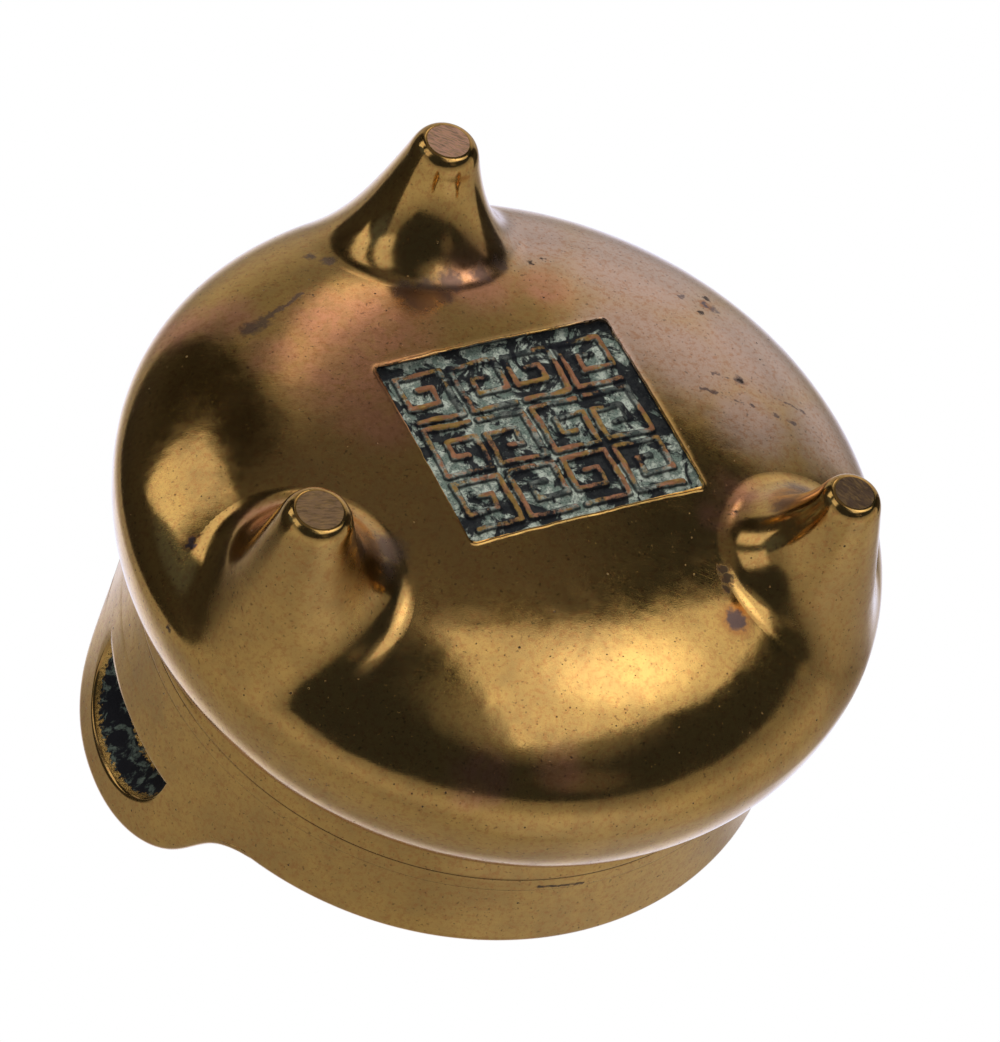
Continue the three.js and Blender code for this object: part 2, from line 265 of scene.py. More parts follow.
def number_ring(bm, verts, number):
    """Numbers the vertices of a ring, so that the rings grown from it know their place."""
    layer = bm.verts.layers.int["place"]
    for vert in verts:
        vert[layer] = number(vert)


def grow(bm, edges, place):
    """Extrudes a ring of edges and puts each new vertex where place(number) says. Returns the new ring."""
    made = bmesh.ops.extrude_edge_only(bm, edges=edges)["geom"]
    layer = bm.verts.layers.int["place"]
    new = {item for item in made if isinstance(item, bmesh.types.BMVert)}
    for vert in new:
        vert.co = place(vert[layer])
    return [
        item for item in made
        if isinstance(item, bmesh.types.BMEdge) and item.verts[0] in new and item.verts[1] in new
    ]


def bezier(a, b, c, d, share):
    """Point of a cubic curve."""
    rest = 1 - share
    return a * rest**3 + b * (3 * rest**2 * share) + c * (3 * rest * share**2) + d * share**3


def ease(value):
    """Smooth step from 0 to 1."""
    value = min(max(value, 0.0), 1.0)
    return value * value * (3 - 2 * value)


def arc(x, y, radius, start, end, steps):
    """Points of a round corner, with its angles in degrees."""
    points = []
    for step in range(steps + 1):
        turn = math.radians(start + (end - start) * step / steps)
        points.append((x + radius * math.cos(turn), y + radius * math.sin(turn)))
    return points


# Bowl


def dish_height(size, reach, low, radius):
    """Height of a dish at a radius: flat and low in the middle, turning up to the belly at its reach."""
    spread = min(radius / reach, 1.0) ** size.underside_power
    return size.belly_height - (size.belly_height - low) * (1 - spread) ** (size.turn_power / 2)


def dish(size, reach, low, start, end, steps):
    """Points of a dish between two angles, from 0 at its middle to a right angle at its reach."""
    points = []
    for step in range(steps + 1):
        turn = start + (end - start) * step / steps
        radius = reach * math.sin(turn) ** (2 / size.underside_power)
        points.append((radius, dish_height(size, reach, low, radius)))
    return points


def underside(radius, size):
    """Height of the bowl's underside at a radius."""
    return dish_height(size, size.belly_radius, size.base_height, radius)


def bowl_profile(size):
    """Outside of the bowl from the base disc to the neck, the spigot, and the hollow down to the axis."""
    start = math.asin((size.base_radius / size.belly_radius) ** (size.underside_power / 2))
    points = dish(size, size.belly_radius, size.base_height, start, math.pi / 2, 56)

    centre = size.belly_radius - size.shoulder_inset
    shoulder_steps = 26
    for step in range(1, shoulder_steps + 1):
        turn = size.shoulder_turn * step / shoulder_steps
        out, up = size.shoulder_inset * math.cos(turn), size.shoulder_rise * math.sin(turn)
        points.append((centre + out, size.belly_height + up))
    leave = Vector(points[-1])
    turn = size.shoulder_turn
    slant = Vector((-size.shoulder_inset * math.sin(turn), size.shoulder_rise * math.cos(turn)))
    lead = slant * ((leave.x - size.neck_radius) / (2 * abs(slant.x)))
    waist = Vector((size.neck_radius, size.neck_height))
    hold = Vector((size.neck_radius, size.neck_height - (size.neck_height - leave.y) / 3))
    neck_steps = 12
    for step in range(1, neck_steps + 1):
        points.append(tuple(bezier(leave, leave + lead, hold, waist, step / neck_steps)))

    edge = 0.1 * MM
    seam = Vector((size.seam_radius, size.seam_height - edge))
    third = (seam.y - waist.y) / 3
    flare = 0.19 * third
    for step in range(1, neck_steps + 1):
        points.append(tuple(bezier(
            waist, waist + Vector((0, third)), seam - Vector((flare, third)), seam, step / neck_steps
        )))
    points += arc(size.seam_radius - edge, size.seam_height - edge, edge, 30, 90, 2)

    spigot = size.mouth_radius + SPIGOT
    spigot_top = size.seam_height + size.spigot_height
    points += [(spigot, size.seam_height), (spigot, spigot_top), (size.mouth_radius, spigot_top)]
    girth = size.belly_radius - size.wall
    hollow_steps = 24
    for step in range(hollow_steps):
        turn = math.pi / 2 * (1 - step / hollow_steps)
        points.append((
            size.mouth_radius + (girth - size.mouth_radius) * math.cos(turn),
            size.belly_height + size.hollow_rise * math.sin(turn),
        ))
    return points + dish(size, girth, size.base_height + size.floor, math.pi / 2, 0, 40)


def recess_place(recess, x, y, height):
    """A place in the recess's own axes, brought into the frame's."""
    turned = Matrix.Rotation(recess.turn, 2) @ Vector((x, y))
    return Vector((recess.centre_x + turned.x, recess.centre_y + turned.y, height))


def recess_outline(recess, count, corner_steps=10):
    """Points round the recess as (corner centre, direction) pairs, so that it can be drawn in or out."""
    inner_x = recess.half_length - recess.corner
    inner_y = recess.half_width - recess.corner
    quarter = count // 4
    corners = [
        (inner_x, inner_y, 0), (-inner_x, inner_y, 90), (-inner_x, -inner_y, 180), (inner_x, -inner_y, 270),
    ]
    points = []
    for number, (x, y, start) in enumerate(corners):
        for step in range(corner_steps + 1):
            turn = math.radians(start + 90 * step / corner_steps)
            points.append((Vector((x, y)), Vector((math.cos(turn), math.sin(turn)))))
        next_x, next_y, _ = corners[(number + 1) % 4]
        way = math.radians(start + 90)
        direction = Vector((math.cos(way), math.sin(way)))
        straight = quarter - corner_steps - 1
        for step in range(1, straight + 1):
            middle = Vector((x, y)).lerp(Vector((next_x, next_y)), step / (straight + 1))
            points.append((middle, direction))
    first = count // 8 - corner_steps // 2
    return points[-first:] + points[:-first]


def recess_rings(size, recess, count):
    """Rings from the base disc in to the recess, over its raised edge and down its wall.

    Also gives the number of the wall's first ring.
    """
    outline = recess_outline(recess, count)

    def edge(number, outset, height, wobble=1.0):
        """At the recess's uneven edge, drawn out or in."""
        base, direction = outline[number]
        point = base + direction * (recess.corner + outset)
        shake = noise.noise(Vector((point.x, point.y, 0)) / (1.7 * MM)) * 0.09 * MM * wobble
        shake += noise.noise(Vector((point.x, point.y, 0.01)) / (0.55 * MM)) * 0.035 * MM * wobble
        point += direction * shake
        return recess_place(recess, point.x, point.y, height)

    def sheet(number, near):
        """Between the base disc and the recess, on the bowl's own surface."""
        disc = recess.turn + TURN * number / count
        rim = edge(number, 0.9 * MM, 0, wobble=0.0)
        outer = Vector((math.cos(disc), math.sin(disc), 0)) * size.base_radius
        place = outer.lerp(rim, near)
        place.z = underside(place.xy.length, size)
        return place

    def burr(number, outset, raised):
        """On the raised edge of the recess."""
        place = edge(number, outset, 0, wobble=1.3 if outset < 0.4 * MM else 0.4)
        place.z = underside(place.xy.length, size) - raised
        return place

    rings = [lambda number, near=near / 14: sheet(number, near) for near in range(1, 15)]
    raised_edge = ((0.5, 0.005), (0.34, 0.025), (0.22, 0.055), (0.12, 0.065), (0.05, 0.045), (0.0, 0.0))
    for outset, raised in raised_edge:
        rings.append(lambda number, a=outset * MM, b=raised * MM: burr(number, a, b))
    wall_from = len(rings)
    for depth in (0.18, 0.42, 0.68, 0.9, 1.08):
        height = size.base_height + (recess.plate_face - size.base_height) * depth
        rings.append(lambda number, a=-0.05 * MM * depth, b=height: edge(number, a, b))
    rings.append(lambda number: edge(number, -0.05 * MM, recess.plate_back + 0.3 * MM))
    return rings, wall_from


def in_hollow(face, size):
    """Whether a face of the bowl lies in its hollow."""
    middle = face.calc_center_median()
    inwards = middle.xy.length < size.mouth_radius + 0.5 * MM or face.normal.xy.dot(middle.xy) < 0
    return inwards and middle.z > size.base_height + size.floor - 0.5 * MM


def in_recess(face, size, recess):
    """Whether a face of the bowl is part of the recess's wall, further in than the underside round it."""
    radius = face.calc_center_median().xy.length
    heights = [vert.co.z for vert in face.verts]
    sunk = underside(radius, size) - 0.02 * MM < min(heights) and max(heights) < recess.plate_back + 1.1 * MM
    return sunk and radius < size.base_radius and face.normal.z > -0.6


class BURNER_OT_bowl(bpy.types.Operator):
    """Model the bowl with its neck, hollow and sunk rectangle"""

    bl_idname = "burner.bowl"
    bl_label = "Bowl"

    def execute(self, context):
        size, recess = context.scene.burner, context.scene.burner_recess
        count = 288
        bm = new_mesh()
        revolve(bm, bowl_profile(size), count, start=recess.turn)
        edges = [edge for edge in bm.edges if edge.is_boundary]
        ring = {vert for edge in edges for vert in edge.verts}
        number_ring(bm, ring, lambda vert: azimuth_number(vert, count, recess.turn))
        rings, wall_from = recess_rings(size, recess, count)
        bare = bm.verts.layers.float["bare"]
        for step, place in enumerate(rings):
            edges = grow(bm, edges, place)
            for vert in {vert for edge in edges for vert in edge.verts}:
                vert[bare] = 1.0 if step < wall_from else max(0.0, 0.75 - 0.4 * (step - wall_from))
        bmesh.ops.contextual_create(bm, geom=edges)
        bmesh.ops.recalc_face_normals(bm, faces=bm.faces)
        for face in bm.faces:
            face.material_index = 2 if in_hollow(face, size) else int(in_recess(face, size, recess))
        materials = [
            material("handled_brass", brass, False), material("verdigris", verdigris),
            material("sooty_inside", sooty_inside),
        ]
        finish_piece(bm, "bowl_body", materials, "bowl")
        return {"FINISHED"}


# Lip ring


def side_radius(size, height):
    """Radius of the lip ring's hollowed side at a height. Past the lip, the ears' outer faces follow it."""
    low = size.seam_height + SEAM_GAP
    near = (height - low) / (size.lip_height - size.lip_rounding - low)
    hollow = size.side_hollow * 4 * near * (1 - near)
    return size.seam_radius + (size.lip_radius - size.seam_radius) * near - hollow


def ring_profile(size):
    """Section of the lip ring: seam edge, incised line, flared side, rounded lip and the mouth's wall."""
    low = size.seam_height + SEAM_GAP
    bore = size.mouth_radius + SPIGOT + 0.02 * MM
    step = size.seam_height + size.spigot_height + 0.02 * MM
    edge = 0.12 * MM
    corner = arc(size.seam_radius - edge, low + edge, edge, -90, -8, 4)
    top = size.lip_height - size.lip_rounding
    side_steps = 60
    heights = [low + edge + (top - low - edge) * number / side_steps for number in range(1, side_steps)]
    side = [(side_radius(size, height), height) for height in heights]
    for shift, depth in ((-0.22, 0), (-0.1, 0.15), (-0.035, 1), (0.035, 1), (0.1, 0.15), (0.22, 0)):
        height = size.incised_height + shift * MM
        side.append((side_radius(size, height) - depth * size.incised_depth, height))
    side.sort(key=lambda point: point[1])
    points = [(bore, low), (size.seam_radius - 0.35 * MM, low)] + corner + side
    points += arc(size.lip_radius - size.lip_rounding, top, size.lip_rounding, 4, 90, 12)
    wall_steps = 8
    wall_top = size.lip_height - size.mouth_rounding
    points += arc(size.mouth_radius + size.mouth_rounding, wall_top, size.mouth_rounding, 90, 180, 8)
    for number in range(1, wall_steps + 1):
        points.append((size.mouth_radius, wall_top + (step - wall_top) * number / wall_steps))
    points += [(bore, step), (bore, low)]
    return points


class BURNER_OT_lip_ring(bpy.types.Operator):
    """Model the flared lip ring above the turned groove"""

    bl_idname = "burner.lip_ring"
    bl_label = "Lip ring"

    def execute(self, context):
        size = context.scene.burner
        bm = new_mesh()
        revolve(bm, ring_profile(size), 288)
        wall_top = size.lip_height - size.mouth_rounding
        for face in bm.faces:
            middle = face.calc_center_median()
            if middle.xy.length < size.mouth_radius + 0.05 * MM and middle.z < wall_top:
                face.material_index = 1
        materials = [material("lathe_brass", brass, True), material("sooty_inside", sooty_inside)]
        finish_piece(bm, "lip_ring", materials, "rim_collar")
        return {"FINISHED"}


# Ears

# Steps across an ear's rounded hole edge, its faces and its rounded outer edge
CRISP_STEPS, FACE_STEPS, SOFT_STEPS = 3, 10, 7


def arch(half_width, height, turn, power):
    """Point of a squared-off arch."""
    across, up = math.cos(turn), max(math.sin(turn), 0.0)
    return Vector((
        half_width * math.copysign(abs(across) ** (2 / power), across),
        height * up ** (2 / power),
    ))


def along(points, count):
    """Points spaced evenly along a line of points."""
    lengths = [0.0]
    for a, b in zip(points, points[1:]):
        lengths.append(lengths[-1] + (b - a).length)
    spaced = []
    place = 0
    for number in range(count):
        target = lengths[-1] * number / (count - 1)
        while place < len(points) - 2 and lengths[place + 1] < target:
            place += 1
        span = lengths[place + 1] - lengths[place] or 1.0
        spaced.append(points[place].lerp(points[place + 1], (target - lengths[place]) / span))
    return spaced


def leg_end(ear, point, side):
    """Curve from the end of the arch's spread down into the lip ring."""
    end = point + Vector((side * ear.run_out, -ear.root - point.y))
    leave, arrive = point + Vector((side * ear.run_out * 0.8, 0)), end + Vector((0, ear.root * 0.6))
    return [bezier(point, leave, arrive, end, step / 12) for step in range(13)]


def ear_outlines(ear, over, under):
    """The finger hole and the outer outline, point by point over the arch and back under the hole."""
    fine = 400
    turns = [math.pi * step / fine for step in range(fine + 1)]
    hole_arch = [arch(ear.hole_half_width, ear.hole_height, turn, ear.arch_power) for turn in turns]
    outline = []
    for turn in turns:
        point = arch(ear.half_width, ear.height, turn, ear.arch_power)
        spread, rise = (ear.spread_far, ear.rise_far) if point.x > 0 else (ear.spread_near, ear.rise_near)
        low = max(0.0, 1 - math.sqrt(point.y / rise))
        point.x += math.copysign(spread * low * low, point.x)
        point.y -= 0.2 * MM * low**6
        outline.append(point)
    climb, down = leg_end(ear, outline[0], 1)[::-1], leg_end(ear, outline[-1], -1)
    hole = along(hole_arch, over) + along([hole_arch[-1], hole_arch[0]], under + 2)[1:-1]
    outer = along(climb + outline[1:-1] + down, over) + along([down[-1], climb[0]], under + 2)[1:-1]
    return hole, outer


def ear_section(ear, hole, outer, normal):
    """Section of the ear from hole to outline and back, as (place in their plane, depth, bareness)."""
    way = (outer - hole).normalized()
    crisp, soft, deep = ear.crisp_edge, ear.soft_edge, ear.thickness
    narrower, lower = 1 - ear.hole_taper / ear.hole_half_width, 1 - ear.hole_taper / ear.hole_height
    back_hole = Vector((hole.x * narrower, hole.y * lower))
    front, back = hole + way * crisp, back_hole + way * crisp
    edge = outer - normal * soft

    def corner(middle, outwards, depth, radius, start, steps):
        points = arc(0, depth, radius, start, start + 90, steps)
        return [(middle + outwards * across, depth, 1.0) for across, depth in points]

    between = [step / FACE_STEPS for step in range(1, FACE_STEPS)]
    section = corner(front, way, crisp, crisp, 180, CRISP_STEPS)
    section += [(front.lerp(edge, near), 0.0, 1.0) for near in between]
    section += corner(edge, normal, soft, soft, -90, SOFT_STEPS)
    section += corner(edge, normal, deep - soft, soft, 0, SOFT_STEPS)
    section += [(edge.lerp(back, near), deep, 1.0) for near in between]
    section += corner(back, way, deep - crisp, crisp, 90, CRISP_STEPS)
    wall_steps, bare_depth = 14, 1.5 * MM
    for step in range(1, wall_steps):
        near = step / wall_steps
        depth = deep - crisp - (deep - 2 * crisp) * near
        bare = max(0.0, 1 - min(depth - crisp, deep - crisp - depth) / bare_depth)
        section.append((back_hole.lerp(hole, near), depth, bare))
    return section


def even_net(points, first, last):
    """Spreads the columns between two fixed ones evenly, so that the net of a face has no folds."""
    for _ in range(400):
        middle = points[:, first + 1:last]
        around = np.roll(middle, 1, axis=0) + np.roll(middle, -1, axis=0)
        points[:, first + 1:last] = (around + points[:, first:last - 1] + points[:, first + 2:last + 1]) / 4


def ear_place(size, ear, point, depth):
    """A place on an ear at azimuth 0, from its outline's plane and its depth behind the outer face."""
    along_lip, up = point
    proud = 0.025 * MM
    buried = ease((-up - 3.0 * MM) / (2.5 * MM)) * 0.09 * MM
    leg_reach = ear.half_width + (ear.spread_far if along_lip > 0 else ear.spread_near)
    sunk = ease((abs(along_lip) - leg_reach) / (5 * MM) + 1) * ease(1 - up / (1.2 * MM)) * 0.06 * MM
    radius = side_radius(size, size.lip_height + up) + proud - buried - sunk - depth
    if up < 0:
        radius = max(radius, size.mouth_radius + 0.05 * MM - 0.3 * up)
    turn = along_lip / (size.lip_radius + 0.3 * MM)
    sill = 0.06 * MM * ease(1 - abs(up) / (0.5 * MM)) * (abs(along_lip) < ear.hole_half_width)
    return Vector((radius * math.cos(turn), radius * math.sin(turn), size.lip_height + up + sill - sunk))


class BURNER_OT_ears(bpy.types.Operator):
    """Model the two loop ears that rise from the lip"""

    bl_idname = "burner.ears"
    bl_label = "Ears"

    def execute(self, context):
        size, ear = context.scene.burner, context.scene.burner_ears
        materials = [material("lathe_brass", brass, True), material("hole_patina", hole_patina)]
        over, under = 168, 44
        hole, outer = ear_outlines(ear, over, under)
        count = len(hole)
        sections = []
        for number in range(count):
            tangent = outer[(number + 1) % count] - outer[number - 1]
            normal = Vector((tangent.y, -tangent.x)).normalized()
            sections.append(ear_section(ear, hole[number], outer[number], normal))
        depths = [depth for _, depth, _ in sections[0]]
        bareness = [bare for _, _, bare in sections[0]]
        net = np.array([[tuple(point) for point, _, _ in section] for section in sections])
        front = CRISP_STEPS
        back = front + FACE_STEPS + 2 * SOFT_STEPS + 1
        for first in (front, back):
            even_net(net, first, first + FACE_STEPS)
        sections = [[ear_place(size, ear, point, depth) for point, depth in zip(row, depths)] for row in net]
        for name, degrees in EAR_ANGLES.items():
            bm = new_mesh()
            verts, edges = chain(bm, sections[0], closed=True)
            first = list(edges)
            numbers = {vert: place for place, vert in enumerate(verts)}
            number_ring(bm, verts, numbers.get)
            for section in sections[1:]:
                edges = grow(bm, edges, section.__getitem__)
            bmesh.ops.bridge_loops(bm, edges=first + edges)
            layer = bm.verts.layers.int["place"]
            bare = bm.verts.layers.float["bare"]
            for vert in bm.verts:
                vert[bare] = bareness[vert[layer]]
            for face in bm.faces:
                face.material_index = int(min(vert[bare] for vert in face.verts) < 1.0)
            turn_to(bm, degrees)
            finish_piece(bm, f"{name}_loop", materials, name)
        return {"FINISHED"}


# Feet


def foot_flank(size, foot, direction, sole_radius, rounding, clockwise, anticlockwise, inward, *holds):
    """Flank of a foot in one direction: straight off the sole, then flaring to lie along the bowl."""
    outward, aside = math.cos(direction), math.sin(direction)
    lengthwise = foot.skirt_outward if outward > 0 else inward
    sideways = anticlockwise if aside > 0 else clockwise
    reach = sideways + (lengthwise - sideways) * outward**2
    radius = math.hypot(foot.ring + reach * outward, reach * aside)
    height = underside(radius, size)
    nudge = 0.01 * MM
    climb = (underside(radius + nudge, size) - height) / nudge
    start = Vector((sole_radius + rounding * (1 + foot.slope) / 2, rounding))
    end = Vector((reach, height))
    span = (end - start).length
    inwards = max(-outward, 0.0) ** 1.5
    flank_hold = foot.flank_hold + (holds[0] - foot.flank_hold) * inwards
    skirt_hold = foot.skirt_hold + (holds[1] - foot.skirt_hold) * inwards
    rise = Vector((foot.slope, 1)).normalized() * span * flank_hold
    lie = Vector((1, climb * (foot.ring * outward + reach) / radius)).normalized()
    return start, start + rise, end - lie * span * skirt_hold, end, lie


class BURNER_OT_feet(bpy.types.Operator):
    """Model the three tapered feet, each flaring into the bowl"""

    bl_idname = "burner.feet"
    bl_label = "Feet"

    def execute(self, context):
        size, foot = context.scene.burner, context.scene.burner_feet
        colours = context.scene.burner_colours
        count, flank_steps, edge_steps = 112, 44, 10
        for name, (degrees, sole_radius, rounding, *sides) in FEET.items():
            flat = sole_radius * SOLE_FLAT
            flanks = [
                foot_flank(size, foot, TURN * number / count, sole_radius, rounding, *sides)
                for number in range(count)
            ]

            def place(number, reach, height):
                direction = TURN * number / count
                return Vector((reach * math.cos(direction), reach * math.sin(direction), height))

            def sole_edge(number, near):
                corner, start = Vector((flat, 0)), flanks[number][0]
                knee = Vector((start.x - foot.slope * start.y, 0))
                point = corner.lerp(knee, near).lerp(knee.lerp(start, near), near)
                return place(number, *point)

            def flank(number, near):
                return place(number, *bezier(*flanks[number][:4], near))

            def landing(number, run, sunk):
                end, lie = flanks[number][3:]
                return place(number, *(end + lie * run + Vector((-lie.y, lie.x)) * sunk))

            bm = new_mesh()
            bmesh.ops.create_circle(bm, cap_ends=True, radius=sole_radius * 0.7, segments=count)
            number_ring(bm, bm.verts, lambda vert: azimuth_number(vert, count))
            edges = grow(bm, list(bm.edges), lambda number: place(number, flat, 0))
            for step in range(1, edge_steps + 1):
                edges = grow(bm, edges, lambda number: sole_edge(number, step / edge_steps))
            for step in range(1, flank_steps + 1):
                edges = grow(bm, edges, lambda number: flank(number, step / flank_steps))
            for run, sunk in ((0.35 * MM, 0.015 * MM), (0.9 * MM, 0.12 * MM)):
                edges = grow(bm, edges, lambda number: landing(number, run, sunk))
            bmesh.ops.contextual_create(bm, geom=edges)
            bmesh.ops.translate(bm, verts=bm.verts, vec=(foot.ring, 0, 0))
            turn_to(bm, degrees)
            for face in bm.faces:
                if max(vert.co.z for vert in face.verts) < 0.01 * MM:
                    face.material_index = 1
            rubbed = getattr(colours, name.replace("foot", "sole"))
            materials = [
                material("handled_brass", brass, False),
                material(f"{name}_sole", rubbed_sole, rubbed, SOLE_SCRATCHES[name]),
            ]
            finish_piece(bm, f"{name}_cone", materials, name)
        return {"FINISHED"}


# Base plate with its ornament


def fret_lines(recess):
    """Squared spirals in rows, each the mirror of its neighbour and linked to it, as (start, end) pairs."""
    columns, rows = 4, 3
    margin = 1.9 * MM
    gap = 1.25 * MM
    cell_x = (2 * (recess.half_length - margin) + gap) / columns
    cell_y = (2 * (recess.half_width - margin) + gap) / rows
    wide, high = cell_x - gap, cell_y - gap
    path = [(0, 0), (1, 0), (1, 1), (0, 1), (0, 0.33), (0.66, 0.33), (0.66, 0.67), (0.34, 0.67)]
    lines = []
    for column in range(columns):
        for row in range(rows):
            left = column * cell_x - recess.half_length + margin
            low = row * cell_y - recess.half_width + margin
            flip = (column + row) % 2 == 1
            points = [
                Vector((left + wide * (1 - x if flip else x), low + high * (1 - y if row % 2 else y)))
                for x, y in path
            ]
            lines += list(zip(points, points[1:]))
            if flip and column > 0:
                lines.append((points[0], points[0] - Vector((gap, 0))))
    return lines


def relief_at(recess, xs, ys):
    """Raised height, from 0 to 1, of the ornament at arrays of places."""
    nearest = np.full(xs.shape, 1.0)
    for start, end in fret_lines(recess):
        way = end - start
        size = way.length_squared or 1.0
        near = np.clip(((xs - start.x) * way.x + (ys - start.y) * way.y) / size, 0, 1)
        distance = np.hypot(xs - start.x - near * way.x, ys - start.y - near * way.y)
        nearest = np.minimum(nearest, distance)
    half, slope = recess.stroke / 2, 0.44 * MM
    rise = np.clip((half + slope / 2 - nearest) / slope, 0, 1)
    return rise * rise * (3 - 2 * rise)


class BURNER_OT_base_plate(bpy.types.Operator):
    """Model the sunk base plate with its raised key-fret ornament"""

    bl_idname = "burner.base_plate"
    bl_label = "Base plate"

    def execute(self, context):
        recess = context.scene.burner_recess
        across, down = 300, 256
        bm = new_mesh()
        made = bmesh.ops.create_grid(bm, x_segments=across, y_segments=down, size=1.0)["verts"]
        half_x, half_y = recess.half_length - 0.02 * MM, recess.half_width - 0.02 * MM
        places = [(vert.co.x * half_x, vert.co.y * half_y) for vert in made]
        # Vector noise follows the clock unless it has a seed
        noise.seed_set(1)
        uneven = []
        for x, y in places:
            wide = noise.noise_vector(Vector((x, y, 0)) / (3.1 * MM)) * 0.24 * MM
            fine = noise.noise_vector(Vector((x, y, 0.02)) / (0.9 * MM)) * 0.09 * MM
            uneven.append((x + wide.x + fine.x, y + wide.y + fine.y))
        xs, ys = np.array(uneven).T
        raised = relief_at(recess, xs, ys)
        bare = bm.verts.layers.float["bare"]
        for vert, (x, y), lift in zip(made, places, raised):
            place = Vector((x, y, 0))
            wear = 0.72 + 0.5 * noise.noise(place / (4.3 * MM) + Vector((3, 1, 7)))
            ground = noise.fractal(place / (2.4 * MM), 1.0, 2.1, 4) * 0.07 * MM
            grit = noise.noise(place / (0.22 * MM)) * 0.018 * MM
            edge = min(half_x - abs(x), half_y - abs(y))
            cove = 0.5 * MM * max(0.0, 1 - edge / (0.7 * MM)) ** 2
            height = recess.plate_face - recess.relief * lift * min(wear, 1.0) + ground + grit - cove
            vert.co = recess_place(recess, x, y, height)
            vert[bare] = lift * min(max(wear, 0.0), 1.0)
        outline = [edge for edge in bm.edges if edge.is_boundary]
        bmesh.ops.extrude_edge_only(bm, edges=outline)
        back = [edge for edge in bm.edges if edge.is_boundary]
        for vert in {vert for edge in back for vert in edge.verts}:
            vert.co.z = recess.plate_back
            vert[bare] = 0.0
        bmesh.ops.contextual_create(bm, geom=back)
        finish_piece(bm, "fret_plate", [material("verdigris", verdigris)], "mark_panel")
        return {"FINISHED"}


# Shader nodes


def connect(tree, value, socket):
    """Links an input to another node's output, or sets it to a plain value."""
    if isinstance(value, bpy.types.NodeSocket):
        tree.links.new(value, socket)
    else:
        socket.default_value = value


def node(tree, kind, inputs=None, **settings):
    """Adds a node, sets its properties, and sets or links its inputs by name or number."""
    made = tree.nodes.new(kind)
    for key, value in settings.items():
        setattr(made, key, value)
    for key, value in (inputs or {}).items():
        connect(tree, value, made.inputs[key])
    return made


def calc(tree, operation, a, b=0.0):
    """A number worked out from two others."""
    return node(tree, "ShaderNodeMath", {0: a, 1: b}, operation=operation).outputs[0]


def times(tree, a, b):
    """The product of two numbers."""
    return calc(tree, "MULTIPLY", a, b)


def most(tree, *values):
    """The greatest of some numbers."""
    greatest, *others = values
    for value in others:
        greatest = calc(tree, "MAXIMUM", greatest, value)
    return greatest


def total(tree, start, *parts):
    """A number with (value, weight) pairs added to it."""
    for value, weight in parts:
        added = node(tree, "ShaderNodeMath", {0: value, 1: weight, 2: start}, operation="MULTIPLY_ADD")
        start = added.outputs[0]
    return start


def vector(tree, operation, a, b=(0, 0, 0)):
    """A vector worked out from two others, or a number where the operation gives one."""
    made = node(tree, "ShaderNodeVectorMath", {0: a, 1: b}, operation=operation)
    return made.outputs["Value" if operation in ("DOT_PRODUCT", "LENGTH", "DISTANCE") else "Vector"]


def axes(tree, place):
    """The three parts of a place or a direction."""
    return node(tree, "ShaderNodeSeparateXYZ", {"Vector": place}).outputs


def fade(tree, value, start, end, low=0.0, high=1.0):
    """Goes smoothly from low to high while the value goes from start to end."""
    span = {"Value": value, "From Min": start, "From Max": end, "To Min": low, "To Max": high}
    return node(tree, "ShaderNodeMapRange", span, interpolation_type="SMOOTHSTEP").outputs["Result"]


def blend(tree, share, a, b):
    """A colour between two others."""
    a, b = (value if isinstance(value, bpy.types.NodeSocket) else (*value, 1) for value in (a, b))
    return node(tree, "ShaderNodeMix", {0: share, 6: a, 7: b}, data_type="RGBA").outputs[2]


def paint(tree, shade, *layers):
    """A colour with others laid over it, each as (where it lies, how well it covers, colour)."""
    for inside, cover, colour in layers:
        shade = blend(tree, times(tree, inside, cover), shade, colour)
    return shade


def clouds(tree, place, scale, detail=3.0, roughness=0.55, distortion=0.0):
    """Soft noise from 0 to 1, with its scale in features per millimetre."""
    inputs = {"Vector": place, "Scale": scale, "Detail": detail, "Roughness": roughness}
    return node(tree, "ShaderNodeTexNoise", inputs | {"Distortion": distortion}).outputs["Fac"]


def streaks(tree, place, turn, long, thin):
    """Noise drawn out along one direction, for scratches and brushing."""
    turn = tuple(math.radians(value) for value in turn)
    inputs = {"Vector": place, "Rotation": turn, "Scale": (long, thin, thin)}
    drawn = node(tree, "ShaderNodeMapping", inputs, vector_type="TEXTURE")
    return clouds(tree, drawn.outputs["Vector"], 1.0, 2.0)


def shaken(tree, place, scale, amount):
    """A place moved about by noise, so that round marks get ragged outlines."""
    swing = node(tree, "ShaderNodeTexNoise", {"Vector": place, "Scale": scale, "Detail": 4.0})
    centred = vector(tree, "SUBTRACT", swing.outputs["Color"], (0.5, 0.5, 0.5))
    inputs = {0: centred, 1: (amount,) * 3, 2: place}
    return node(tree, "ShaderNodeVectorMath", inputs, operation="MULTIPLY_ADD").outputs["Vector"]


def at_marks(tree, place, marks, soft):
    """How far a place lies inside the nearest of some marks, each given as (x, y, z, radius)."""
    return most(tree, *(
        fade(tree, vector(tree, "DISTANCE", place, (x, y, z)), radius * (1 + soft), radius * (1 - soft))
        for x, y, z, radius in marks
    ))


def at_lines(tree, place, lines):
    """How far a place lies inside the nearest of some thin lines, each given as (start, end, width)."""
    inside = []
    for start, end, width in lines:
        start, end = Vector(start), Vector(end)
        way = (end - start).normalized()
        offset = vector(tree, "SUBTRACT", place, tuple(start))
        run = most(tree, vector(tree, "DOT_PRODUCT", offset, tuple(way)), 0.0)
        nearest = vector(tree, "MULTIPLY", calc(tree, "MINIMUM", run, (end - start).length), tuple(way))
        inside.append(fade(tree, vector(tree, "DISTANCE", offset, nearest), width, width * 0.4))
    return most(tree, *inside)


